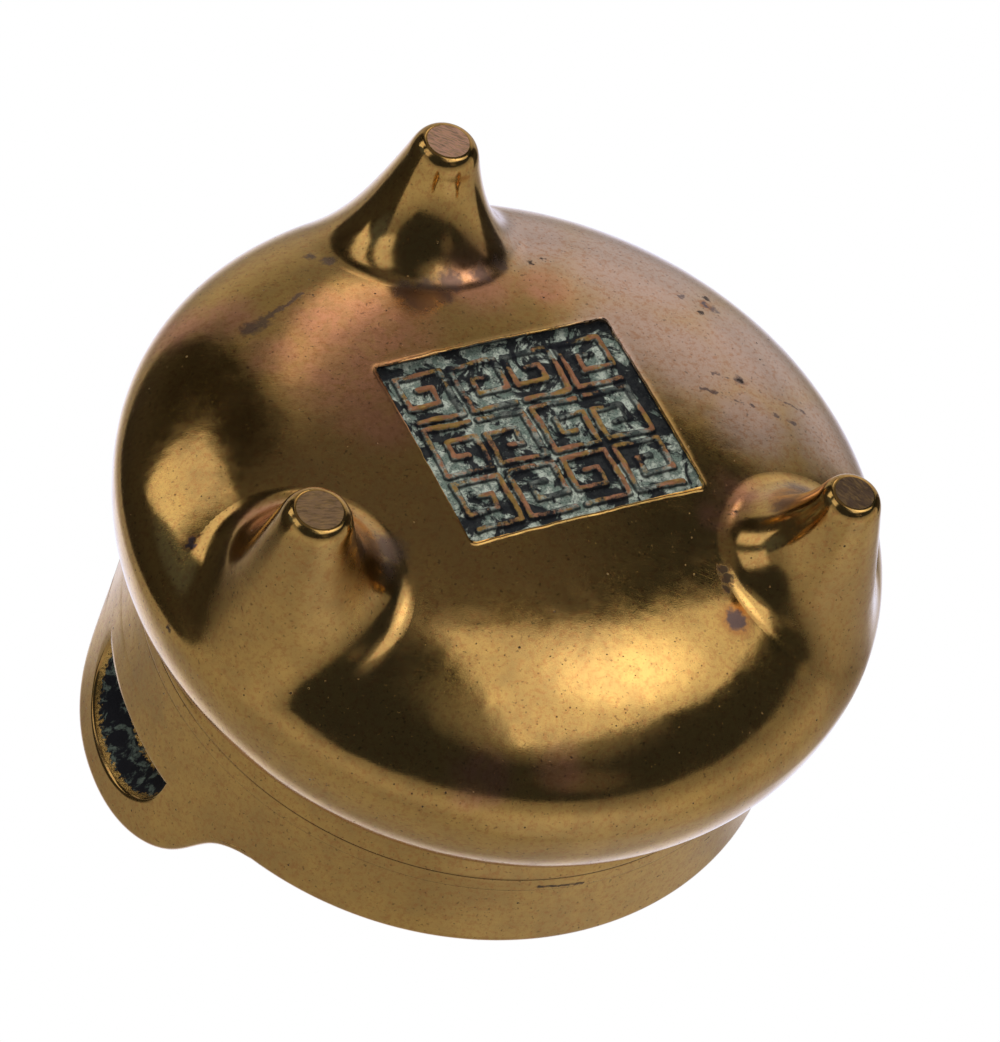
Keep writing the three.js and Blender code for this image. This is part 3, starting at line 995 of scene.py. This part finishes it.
def dots(tree, place, scale, radius, share):
    """Scattered small dots, on a share of the cells of a loose grid."""
    cells = node(tree, "ShaderNodeTexVoronoi", {"Vector": place, "Scale": scale})
    pick = node(tree, "ShaderNodeSeparateColor", {"Color": cells.outputs["Color"]}).outputs
    size = times(tree, pick["Green"], radius * scale)
    dot = fade(tree, calc(tree, "SUBTRACT", cells.outputs["Distance"], size), 0.03, -0.03)
    return times(tree, dot, calc(tree, "LESS_THAN", pick["Red"], share))


def material(name, finish, *settings):
    """The material of that name, made with a finish when it is first asked for."""
    made = bpy.data.materials.get(name)
    if made:
        return made
    made = bpy.data.materials.new(name)
    made.use_nodes = True
    tree = made.node_tree
    where = node(tree, "ShaderNodeTexCoord").outputs["Object"]
    place = vector(tree, "MULTIPLY", where, (1 / MM,) * 3)
    shade, rough, metal, relief = finish(tree, place, bpy.context.scene.burner_colours, *settings)
    bump = node(tree, "ShaderNodeBump", {"Height": relief, "Strength": 1.0, "Distance": MM}).outputs[0]
    surface = {"Base Color": shade, "Roughness": rough, "Metallic": metal, "Normal": bump}
    for socket, value in surface.items():
        connect(tree, value, tree.nodes["Principled BSDF"].inputs[socket])
    return made


# Finishes. Each takes places in millimetres, and gives a colour, a roughness, a share of metal and a relief


# Marks seen on the burner, as (x, y, z, radius)
COPPER_PATCHES = (
    (17, 12.5, 11.2, 7.0), (12, 18.5, 11.2, 6.0), (16.5, 20.2, 11.9, 5.0), (16.5, 6, 10.8, 4.5),
    (-2.1, 22.6, 11.1, 4.2), (27, 26, 15.5, 3.4), (24.5, 18, 13, 3.0), (-10, 21, 11, 3.0),
    (33.3, -3.9, 13.4, 2.6), (-20.4, -12.0, 11.4, 3.0), (-17, -14.5, 11.2, 2.2), (31.4, 27.4, 18.1, 3.6),
    (10.9, -39.0, 17.2, 2.4), (19.3, -37.5, 18.6, 3.0),
)
# Pale patches between the back foot and the left ear, painted to stand for a soft reflection
SHEEN_PATCHES = (
    (-24, 24, 14, 11), (-33, 9, 15.5, 9), (-13, 31, 14, 7), (-38, -3, 18, 7), (-27, -2, 12, 5),
    (-18, 12, 11, 7), (-23, 8, 11.5, 7),
)
SATIN = ((35, -18, 9, 7.5), (39.5, -15.5, 15, 6), (-27, -28, 12, 6.5), (-29, -31, 19, 6))
STAINS = (
    (-14.9, -21.2, 11.8, 0.6), (-14.9, -22.4, 11.9, 0.75), (-14.5, -23.8, 12.1, 0.55),
    (44.0, -8.8, 23.1, 0.35), (43.4, -9.8, 22.5, 0.25), (-28.9, 4.2, 12.4, 0.4), (-10.3, 25.4, 12.0, 0.35),
    (-12.2, 26.0, 12.2, 0.25), (-29, 15.6, 13.6, 0.4), (-31.6, 18.6, 15, 0.5), (23.6, -12.6, 11.3, 0.9),
    (24.3, -13.8, 11.3, 1.0), (-19.3, -14.6, 11.4, 0.5),
)
RINGED_SPOTS = ((-14.2, -27.4, 12.8, 2.0), (40.4, -2.3, 17.1, 1.0), (-30.5, 17.3, 14.3, 0.9))
# Grey tarnish spots, and rows of marks where each foot meets the bowl that paint the dark shade there
TARNISH_AND_SEAT_SHADE = (
    (5.5, 21.3, 11.1, 2.0), (3, 21.6, 11.1, 1.5), (29.4, -14.6, 3, 1.5), (27.9, -13.8, 5.8, 2.2),
    (25.3, -12, 10.2, 2.4), (23.9, -14, 11.5, 1.9), (22, -11.5, 11.6, 2.2), (-24.1, -17.3, 8, 2.0),
    (-26.5, -15, 10.5, 2.0), (-28.8, -13.4, 12.7, 2.2), (1, 23.4, 11.3, 1.5), (-3, 24, 11.4, 1.4),
    (-5.8, 25.4, 11.7, 1.3), (4.3, 22.7, 11.2, 1.7), (6.6, 23.3, 11.4, 1.5), (25.4, 22.9, 13.9, 1.1),
    (24, 23.2, 13.6, 1.0), (22.5, 24, 13.4, 0.6), (21.1, 24.8, 13.3, 0.55), (18.4, 26.1, 13.1, 0.4),
    (12.8, 31, 13.7, 0.9), (14.3, 32.6, 14.5, 0.7), (-27.6, 18.5, 13.6, 0.5), (-31.4, 16.6, 14.4, 0.7),
    (-28.8, 4.2, 12.4, 0.7),
)
# Thin marks, as (start, end, width)
SCORES = (
    ((-9.7, -38.7, 46.5), (-17.5, -35.6, 45.4), 0.14), ((6.5, -38.7, 42.6), (1.1, -39.2, 42.9), 0.32),
)
CRACKS = (
    ((1.0, 32.4, 1.2), (1.4, 30.8, 5.9), 0.22), ((-1.2, 31.8, 1.2), (-1.5, 29.8, 6.9), 0.24),
    ((2.0, 31.5, 4.5), (-0.2, 30.9, 4.3), 0.14), ((-0.3, 31.5, 2.2), (-2.6, 32.0, 2.6), 0.14),
)
RUBS = (
    ((-22.8, 3.2, 11.3), (-33.5, -2.2, 13.7), 0.34), ((-25.5, 5.5, 11.8), (-36.2, -0.1, 14.7), 0.3),
    ((24, 23.4, 13.6), (18.0, 26.4, 13.1), 0.42),
)
# Directions and thinness of the scratches
SCRATCHES = (((12, 8, 34), 0.07), ((-20, 15, -52), 0.06), ((35, -30, 84), 0.08))


def brass(tree, place, colours, turned):
    """Polished brass with toned patches, stains, spots, pits and fine scratches, turned or left as cast."""
    size = bpy.context.scene.burner
    x, y, z = axes(tree, place)
    ragged, jagged = shaken(tree, place, 0.45, 3.2), shaken(tree, place, 1.3, 1.9)

    toned = fade(tree, clouds(tree, place, 0.06, 5.0, 0.6, 0.5), 0.4, 0.62)
    mottled = fade(tree, clouds(tree, place, 0.35, 5.0, 0.68, 0.3), 0.38, 0.7)
    tone = total(tree, 0.0, (toned, 0.65), (mottled, 0.35))
    pink = times(tree, at_marks(tree, ragged, COPPER_PATCHES, 0.6), fade(tree, mottled, 0.0, 0.8, 0.9, 0.55))
    painted_sheen = at_marks(tree, ragged, SHEEN_PATCHES, 0.6)
    satin = at_marks(tree, shaken(tree, place, 0.2, 3.0), SATIN, 0.35)
    flecks = fade(tree, clouds(tree, place, 1.5, 5.0, 0.78), 0.45, 0.66)
    freckles = fade(tree, clouds(tree, vector(tree, "ADD", place, (31, 7, 3)), 2.3, 2.0, 0.5), 0.64, 0.72)

    rubs = at_lines(tree, shaken(tree, place, 0.9, 1.4), RUBS)
    tarnish_and_seat_shade = most(tree, at_marks(tree, jagged, TARNISH_AND_SEAT_SHADE, 0.45), rubs)
    cracks = at_lines(tree, shaken(tree, place, 1.6, 0.5), CRACKS)
    rusty = most(tree, at_marks(tree, jagged, RINGED_SPOTS, 0.4), cracks)
    cores = at_marks(tree, jagged, [(*spot[:3], 0.62 * spot[3]) for spot in RINGED_SPOTS], 0.25)
    pits = dots(tree, place, 0.62, 0.14, 0.5)
    specks = dots(tree, vector(tree, "ADD", place, (5.3, 1.7, 9.1)), 1.7, 0.1, 0.3)
    off_seam = calc(tree, "ABSOLUTE", calc(tree, "SUBTRACT", z, (size.seam_height + SEAM_GAP / 2) / MM))
    seam = fade(tree, off_seam, 0.22, 0.06, 0.0, 0.4)
    scores = at_lines(tree, shaken(tree, place, 1.4, 0.5), SCORES)
    dark = most(tree, at_marks(tree, jagged, STAINS, 0.45), seam, pits, scores)

    scratches = most(tree, *(
        fade(tree, streaks(tree, place, turn, 9.0, thin), 0.64, 0.72) for turn, thin in SCRATCHES
    ))
    scratches = times(tree, scratches, fade(tree, clouds(tree, place, 0.16, 2.0), 0.42, 0.62, 0.15, 1.0))
    brushed = streaks(tree, place, (5, -18, 24), 3.0, 0.13)
    grain = clouds(tree, place, 4.2, 3.0, 0.7)
    swell = clouds(tree, place, 0.22, 2.0, 0.5)

    # Among these layers, the pale sheen patches are a painted soft reflection, and part of the grey tarnish
    # is painted shade at the feet's seats
    shade = paint(
        tree, colours.gold,
        (tone, 1.0, colours.brown), (painted_sheen, 0.9, colours.painted_sheen), (pink, 1.0, colours.copper),
        (flecks, 0.55, colours.halo), (freckles, 0.45, colours.stain), (specks, 0.7, colours.stain),
        (tarnish_and_seat_shade, 0.72, colours.spot), (rusty, 0.7, colours.halo), (cores, 0.9, colours.spot),
        (dark, 0.88, colours.stain),
    )
    rough = total(
        tree, 0.085, (tone, 0.05), (mottled, 0.05), (scratches, 0.05), (dark, 0.32), (pink, 0.08),
        (satin, 0.22), (tarnish_and_seat_shade, 0.15),
    )
    relief = total(
        tree, 0.0, (swell, 0.04), (grain, 0.002), (scratches, -0.0012), (pits, -0.03), (specks, -0.01),
        (brushed, 0.002),
    )
    if turned:
        around = calc(tree, "ARCTAN2", y, x)
        radius = calc(tree, "SQRT", total(tree, 0.0, (x, x), (y, y)))
        ring = {"X": times(tree, around, 2.2), "Y": times(tree, radius, 3.0), "Z": times(tree, z, 5.0)}
        ring = node(tree, "ShaderNodeCombineXYZ", ring).outputs[0]
        lip = size.lip_height / MM
        lathe = times(tree, clouds(tree, ring, 1.0, 4.0, 0.6), fade(tree, z, lip - 0.2, lip - 1.6, 0.6, 1.0))
        shade = paint(tree, shade, (fade(tree, lathe, 0.5, 0.68), 0.16, colours.brown))
        rough = total(tree, rough, (fade(tree, lathe, 0.45, 0.7), 0.04))
        relief = total(tree, relief, (lathe, 0.004))
    return shade, rough, total(tree, 1.0, (dark, -0.5)), relief


def rubbed_sole(tree, place, colours, shade, turn):
    """Sole of a foot, worn flat and scratched by the table."""
    bent = shaken(tree, place, 0.9, 0.5)
    coarse = streaks(tree, bent, (0, 0, turn), 1.5, 0.3)
    fine = streaks(tree, bent, (0, 0, turn + 12), 1.3, 0.1)
    scratched = fade(tree, total(tree, 0.0, (coarse, 0.7), (fine, 0.3)), 0.42, 0.66)
    worn = fade(tree, total(tree, 0.0, (fine, 0.6), (clouds(tree, place, 0.8, 4.0, 0.65), 0.4)), 0.46, 0.62)
    shade = paint(tree, shade, (scratched, 0.55, colours.stain), (worn, 0.3, colours.gold))
    return shade, total(tree, 0.36, (scratched, 0.16)), 0.6, total(tree, 0.0, (coarse, 0.06), (fine, 0.02))


def bareness(tree):
    """How bare the metal is, as the mesh holds it."""
    return node(tree, "ShaderNodeAttribute", attribute_name="bare").outputs["Fac"]


def verdigris(tree, place, colours):
    """Matt verdigris with dark patches and pale blobs, worn through to the metal where it stands proud."""
    bare = bareness(tree)
    worn = fade(tree, total(tree, bare, (clouds(tree, place, 1.5, 5.0, 0.7), 0.8)), 0.98, 1.2)
    # Darker where the bare share is middling: on the sloping sides of the raised strokes and partway down the
    # recess wall
    darker_at_stroke_sides = times(tree, fade(tree, bare, 0.02, 0.25), fade(tree, bare, 0.8, 0.4))
    mottled = fade(tree, clouds(tree, place, 0.8, 6.0, 0.75, 0.3), 0.44, 0.56)
    dark = fade(tree, clouds(tree, place, 0.22, 6.0, 0.7, 0.7), 0.475, 0.525)
    grit = clouds(tree, place, 3.8, 4.0, 0.75)
    blobs = dots(tree, shaken(tree, place, 0.7, 0.6), 0.34, 1.1, 0.6)
    blobs = times(tree, blobs, fade(tree, axes(tree, place)[0], -3.0, -8.0))
    metal = blend(tree, fade(tree, clouds(tree, place, 0.5, 3.0), 0.4, 0.6), colours.gold, colours.copper)
    shade = paint(
        tree, colours.verdigris,
        (mottled, 1.0, colours.deep_verdigris), (dark, 0.96, colours.dark_patina),
        (fade(tree, grit, 0.5, 0.66), 0.75, colours.dark_patina), (blobs, 0.9, colours.verdigris),
        (darker_at_stroke_sides, 0.85, colours.dark_patina), (worn, 1.0, metal),
    )
    relief = total(tree, 0.0, (grit, 0.06), (mottled, -0.06), (dark, -0.05), (blobs, 0.12))
    return shade, total(tree, 0.82, (worn, -0.5)), times(tree, worn, 0.9), relief


def hole_patina(tree, place, colours):
    """Near-black patina inside the finger holes, with grey-green blotches and a worn golden edge."""
    brushed = streaks(tree, place, (0, 90, 0), 1.2, 0.5)
    worn = fade(tree, total(tree, bareness(tree), (brushed, 1.3)), 1.22, 1.42)
    blotches = fade(tree, clouds(tree, place, 0.6, 5.0, 0.7, 0.4), 0.5, 0.62)
    shade = blend(tree, times(tree, blotches, 0.8), colours.dark_patina, colours.deep_verdigris)
    shade = blend(tree, worn, shade, colours.gold)
    relief = total(tree, 0.0, (clouds(tree, place, 2.2, 4.0, 0.7), 0.08), (blotches, 0.03))
    return shade, total(tree, 0.62, (worn, -0.36)), total(tree, 0.3, (worn, 0.7)), relief


def sooty_inside(tree, place, colours):
    """Brown inside of the bowl and mouth, under soot that thickens towards the floor."""
    z = axes(tree, place)[2]
    depth, floor = fade(tree, z, 52.0, 30.0), fade(tree, z, 22.0, 17.0)
    sooty = fade(tree, total(tree, clouds(tree, place, 0.16, 5.0, 0.65, 0.5), (depth, 0.6)), 0.5, 0.95)
    ashy = fade(tree, total(tree, clouds(tree, place, 0.5, 5.0, 0.7), (floor, 0.3)), 0.66, 0.85)
    shade = paint(tree, colours.brown, (sooty, 1.0, colours.soot), (ashy, 0.6, colours.ash))
    relief = times(tree, clouds(tree, place, 1.6, 4.0, 0.7), 0.05)
    return shade, total(tree, 0.3, (sooty, 0.4)), total(tree, 0.95, (sooty, -0.75)), relief


# Stage


def heading(azimuth, tilt):
    """Unit vector at an azimuth, tilted from straight down, in degrees."""
    azimuth, tilt = math.radians(azimuth), math.radians(tilt)
    return Vector((math.sin(tilt) * math.cos(azimuth), math.sin(tilt) * math.sin(azimuth), -math.cos(tilt)))


def round_light(tree, way, azimuth, tilt, inner, outer):
    """How far a direction lies inside a round soft-edged patch of the studio: 1 within the inner angle."""
    near = vector(tree, "DOT_PRODUCT", way, tuple(heading(azimuth, tilt)))
    return fade(tree, near, math.cos(math.radians(outer)), math.cos(math.radians(inner)))


def window(tree, way, corners, soft):
    """How far a direction lies inside a straight-edged patch of the studio, its corners given as headings."""
    corners = [heading(*corner) for corner in corners]
    middle = sum(corners, Vector()).normalized()
    inside = 1.0
    for corner, following in zip(corners, corners[1:] + corners[:1]):
        inwards = corner.cross(following).normalized()
        if inwards.dot(middle) < 0:
            inwards.negate()
        within = fade(tree, vector(tree, "DOT_PRODUCT", way, tuple(inwards)), -soft, soft)
        inside = times(tree, within, inside)
    return inside


# Straight-edged parts of the studio, as corners (azimuth, tilt from straight down) in degrees
DARK_BELOW = (
    (110, 42), (145, 54), (190, 63), (212, 66), (240, 67), (270, 68), (300, 70), (325, 73), (350, 66),
    (40, 45),
)
DARK_SIDE = ((97, 34), (79, 98), (66, 117), (40, 122), (14, 115), (7, 100), (10, 80), (20, 40))
DARK_THIRD = ((155, 50), (186, 47), (188, 111), (160, 112))
SOFTBOX = ((164, 42), (178.5, 46), (195, 41.5), (270, 28.5), (113, 12))
SIDE_SOFTBOX = ((70, 51), (45.5, 82.5), (35.5, 61.5), (64, 37))
LOW_SOFTBOX = ((55, 30), (22, 62), (357, 58), (18, 24))
WHITE, COOL, PINK, OLIVE = (1.0, 1.0, 1.0), (0.85, 0.95, 1.32), (1.05, 0.95, 0.9), (0.8, 1.1, 1.5)
# Round parts of the studio, as (azimuth, tilt, inner angle, outer angle, brightness, tint)
ROUND_LIGHTS = (
    (250, 20, 4, 22, 0.16, WHITE), (184, 24, 1, 13, 0.9, WHITE),
    (107, 57, 1, 7.5, 0.78, PINK), (100, 50, 0.5, 6, 0.42, PINK),
    (133, 66, 5, 19, 0.2, PINK), (258, 50, 4, 11, 0.07, PINK),
    (28, 66, 4, 20, 0.055, OLIVE), (132, 82, 8, 32, 0.14, COOL),
    (215, 135, 10, 35, 0.13, COOL), (260, 107, 5, 32, 0.12, COOL),
    (120, 146, 10, 44, 0.8, COOL),
)


class BURNER_OT_stage(bpy.types.Operator):
    """Set the floor, the lights, the backdrop and the camera"""

    bl_idname = "burner.stage"
    bl_label = "Stage"

    def execute(self, context):
        scene = context.scene
        scene.view_settings.view_transform = "Standard"
        self.camera(scene)
        self.world(scene)
        self.floor(scene)
        self.lamp(scene, "overhead", Vector((0.15, -0.25, 1.1)), 0.9, 10)
        self.lamp(scene, "below", Vector((0.08, 0.28, -0.5)), 0.4, 1.1)
        return {"FINISHED"}

    def camera(self, scene):
        """The camera that the photograph's outline, soles and sunk panel fit."""
        data = bpy.data.cameras.new("camera")
        data.sensor_fit = "AUTO"
        data.sensor_width = 36
        data.lens = 120.92
        data.clip_start, data.clip_end = 0.01, 20
        camera = bpy.data.objects.new("camera", data)
        scene.collection.objects.link(camera)
        azimuth, elevation, roll = (math.radians(value) for value in (-38.13, -49.43, 158.84))
        aim, distance = Vector((-1.07, 1.36, 28.52)) * MM, 405.0 * MM
        level = math.cos(elevation)
        back = Vector((-math.sin(azimuth) * level, -math.cos(azimuth) * level, math.sin(elevation)))
        upright = (-back).to_track_quat("-Z", "Y")
        camera.rotation_mode = "QUATERNION"
        camera.location = aim + back * distance
        camera.rotation_quaternion = upright @ Matrix.Rotation(-roll, 3, "Z").to_quaternion()
        scene.camera = camera

    def world(self, scene):
        """Pale surroundings above, a dark studio with softboxes below, and a white backdrop."""
        scene.world = bpy.data.worlds.new("studio")
        scene.world.use_nodes = True
        tree = scene.world.node_tree
        way = node(tree, "ShaderNodeTexCoord").outputs["Generated"]
        height = axes(tree, way)[2]
        lower, upper = fade(tree, height, -0.4, 0.0, 0.19, 0.37), fade(tree, height, 0.0, 0.4, 0.0, 0.09)
        level = calc(tree, "SUBTRACT", lower, upper)
        below = window(tree, way, DARK_BELOW, 0.05)
        side, third = window(tree, way, DARK_SIDE, 0.05), window(tree, way, DARK_THIRD, 0.04)
        for dark, left in ((below, 0.09), (side, 0.1), (third, 0.1)):
            level = times(tree, level, fade(tree, dark, 0.0, 1.0, 1.0, left))
        under_panel = times(tree, below, round_light(tree, way, 100, 28, 13, 26))
        lights = [
            (window(tree, way, SOFTBOX, 0.02), 0.62, WHITE),
            (window(tree, way, SIDE_SOFTBOX, 0.025), 0.75, WHITE),
            (window(tree, way, LOW_SOFTBOX, 0.04), 0.6, WHITE),
            (below, 0.013, OLIVE),
            (under_panel, 0.068, PINK),
        ]
        lights += [(round_light(tree, way, *patch), bright, tint) for *patch, bright, tint in ROUND_LIGHTS]
        light = blend(tree, level, (0.0, 0.0, 0.0), WHITE)
        for inside, bright, tint in lights:
            light = vector(tree, "ADD", light, vector(tree, "MULTIPLY", times(tree, inside, bright), tint))
        seen = node(tree, "ShaderNodeLightPath").outputs["Is Camera Ray"]
        connect(tree, blend(tree, seen, light, WHITE), tree.nodes["Background"].inputs["Color"])

    def floor(self, scene):
        """A pale floor under the soles. It is clear from below and fades into the backdrop further out."""
        bm = bmesh.new()
        bmesh.ops.create_circle(bm, cap_ends=True, radius=1.2, segments=96)
        bmesh.ops.translate(bm, verts=bm.verts, vec=(0, 0, -0.05 * MM))
        mesh = bpy.data.meshes.new("floor")
        bm.to_mesh(mesh)
        bm.free()
        floor = bpy.data.objects.new("floor", mesh)
        scene.collection.objects.link(floor)
        pale_floor = bpy.data.materials.new("pale_floor")
        pale_floor.use_nodes = True
        tree = pale_floor.node_tree
        tree.nodes.remove(tree.nodes["Principled BSDF"])
        where = node(tree, "ShaderNodeTexCoord").outputs["Object"]
        solid = fade(tree, vector(tree, "LENGTH", where), 1.0, 0.3)
        from_below = node(tree, "ShaderNodeNewGeometry").outputs["Backfacing"]
        passed = node(tree, "ShaderNodeLightPath").outputs["Transparent Depth"]
        for hidden in (from_below, calc(tree, "GREATER_THAN", passed, 0.5)):
            solid = times(tree, solid, calc(tree, "SUBTRACT", 1.0, hidden))
        pale = node(tree, "ShaderNodeBsdfDiffuse", {"Color": (0.82, 0.81, 0.79, 1)}).outputs[0]
        clear = node(tree, "ShaderNodeBsdfTransparent").outputs[0]
        mix = node(tree, "ShaderNodeMixShader", {0: solid, 1: clear, 2: pale}).outputs[0]
        connect(tree, mix, tree.nodes["Material Output"].inputs["Surface"])
        mesh.materials.append(pale_floor)

    def lamp(self, scene, name, place, across, power):
        """A wide soft light on the floor and the matt patina. The polished metal mirrors the studio alone."""
        light = bpy.data.lights.new(name, "AREA")
        light.shape, light.size = "DISK", across
        light.energy = power
        lamp = bpy.data.objects.new(name, light)
        lamp.location = place
        lamp.rotation_mode = "QUATERNION"
        lamp.rotation_quaternion = place.to_track_quat("Z", "Y")
        lamp.visible_glossy = lamp.visible_camera = False
        scene.collection.objects.link(lamp)


class BURNER_PT_panel(bpy.types.Panel):
    """The burner's pieces and stage"""

    bl_idname = "BURNER_PT_panel"
    bl_label = "Incense burner"
    bl_space_type = "VIEW_3D"
    bl_region_type = "UI"
    bl_category = "Burner"

    def draw(self, context):
        for operator in OPERATORS:
            self.layout.operator(operator.bl_idname)


GROUPS = {
    "burner": BurnerSizes,
    "burner_ears": EarSizes,
    "burner_feet": FootSizes,
    "burner_recess": RecessSizes,
    "burner_colours": BurnerColours,
}
OPERATORS = (
    BURNER_OT_stage, BURNER_OT_bowl, BURNER_OT_lip_ring, BURNER_OT_ears, BURNER_OT_feet, BURNER_OT_base_plate,
)


def register():
    for group in (*GROUPS.values(), *OPERATORS, BURNER_PT_panel):
        bpy.utils.register_class(group)
    for name, group in GROUPS.items():
        setattr(bpy.types.Scene, name, PointerProperty(type=group))


def unregister():
    for name in GROUPS:
        delattr(bpy.types.Scene, name)
    for group in reversed((*GROUPS.values(), *OPERATORS, BURNER_PT_panel)):
        bpy.utils.unregister_class(group)


def main():
    register()
    for operator in OPERATORS:
        area, _, action = operator.bl_idname.partition(".")
        getattr(getattr(bpy.ops, area), action)()


if __name__ == "__main__":
    main()
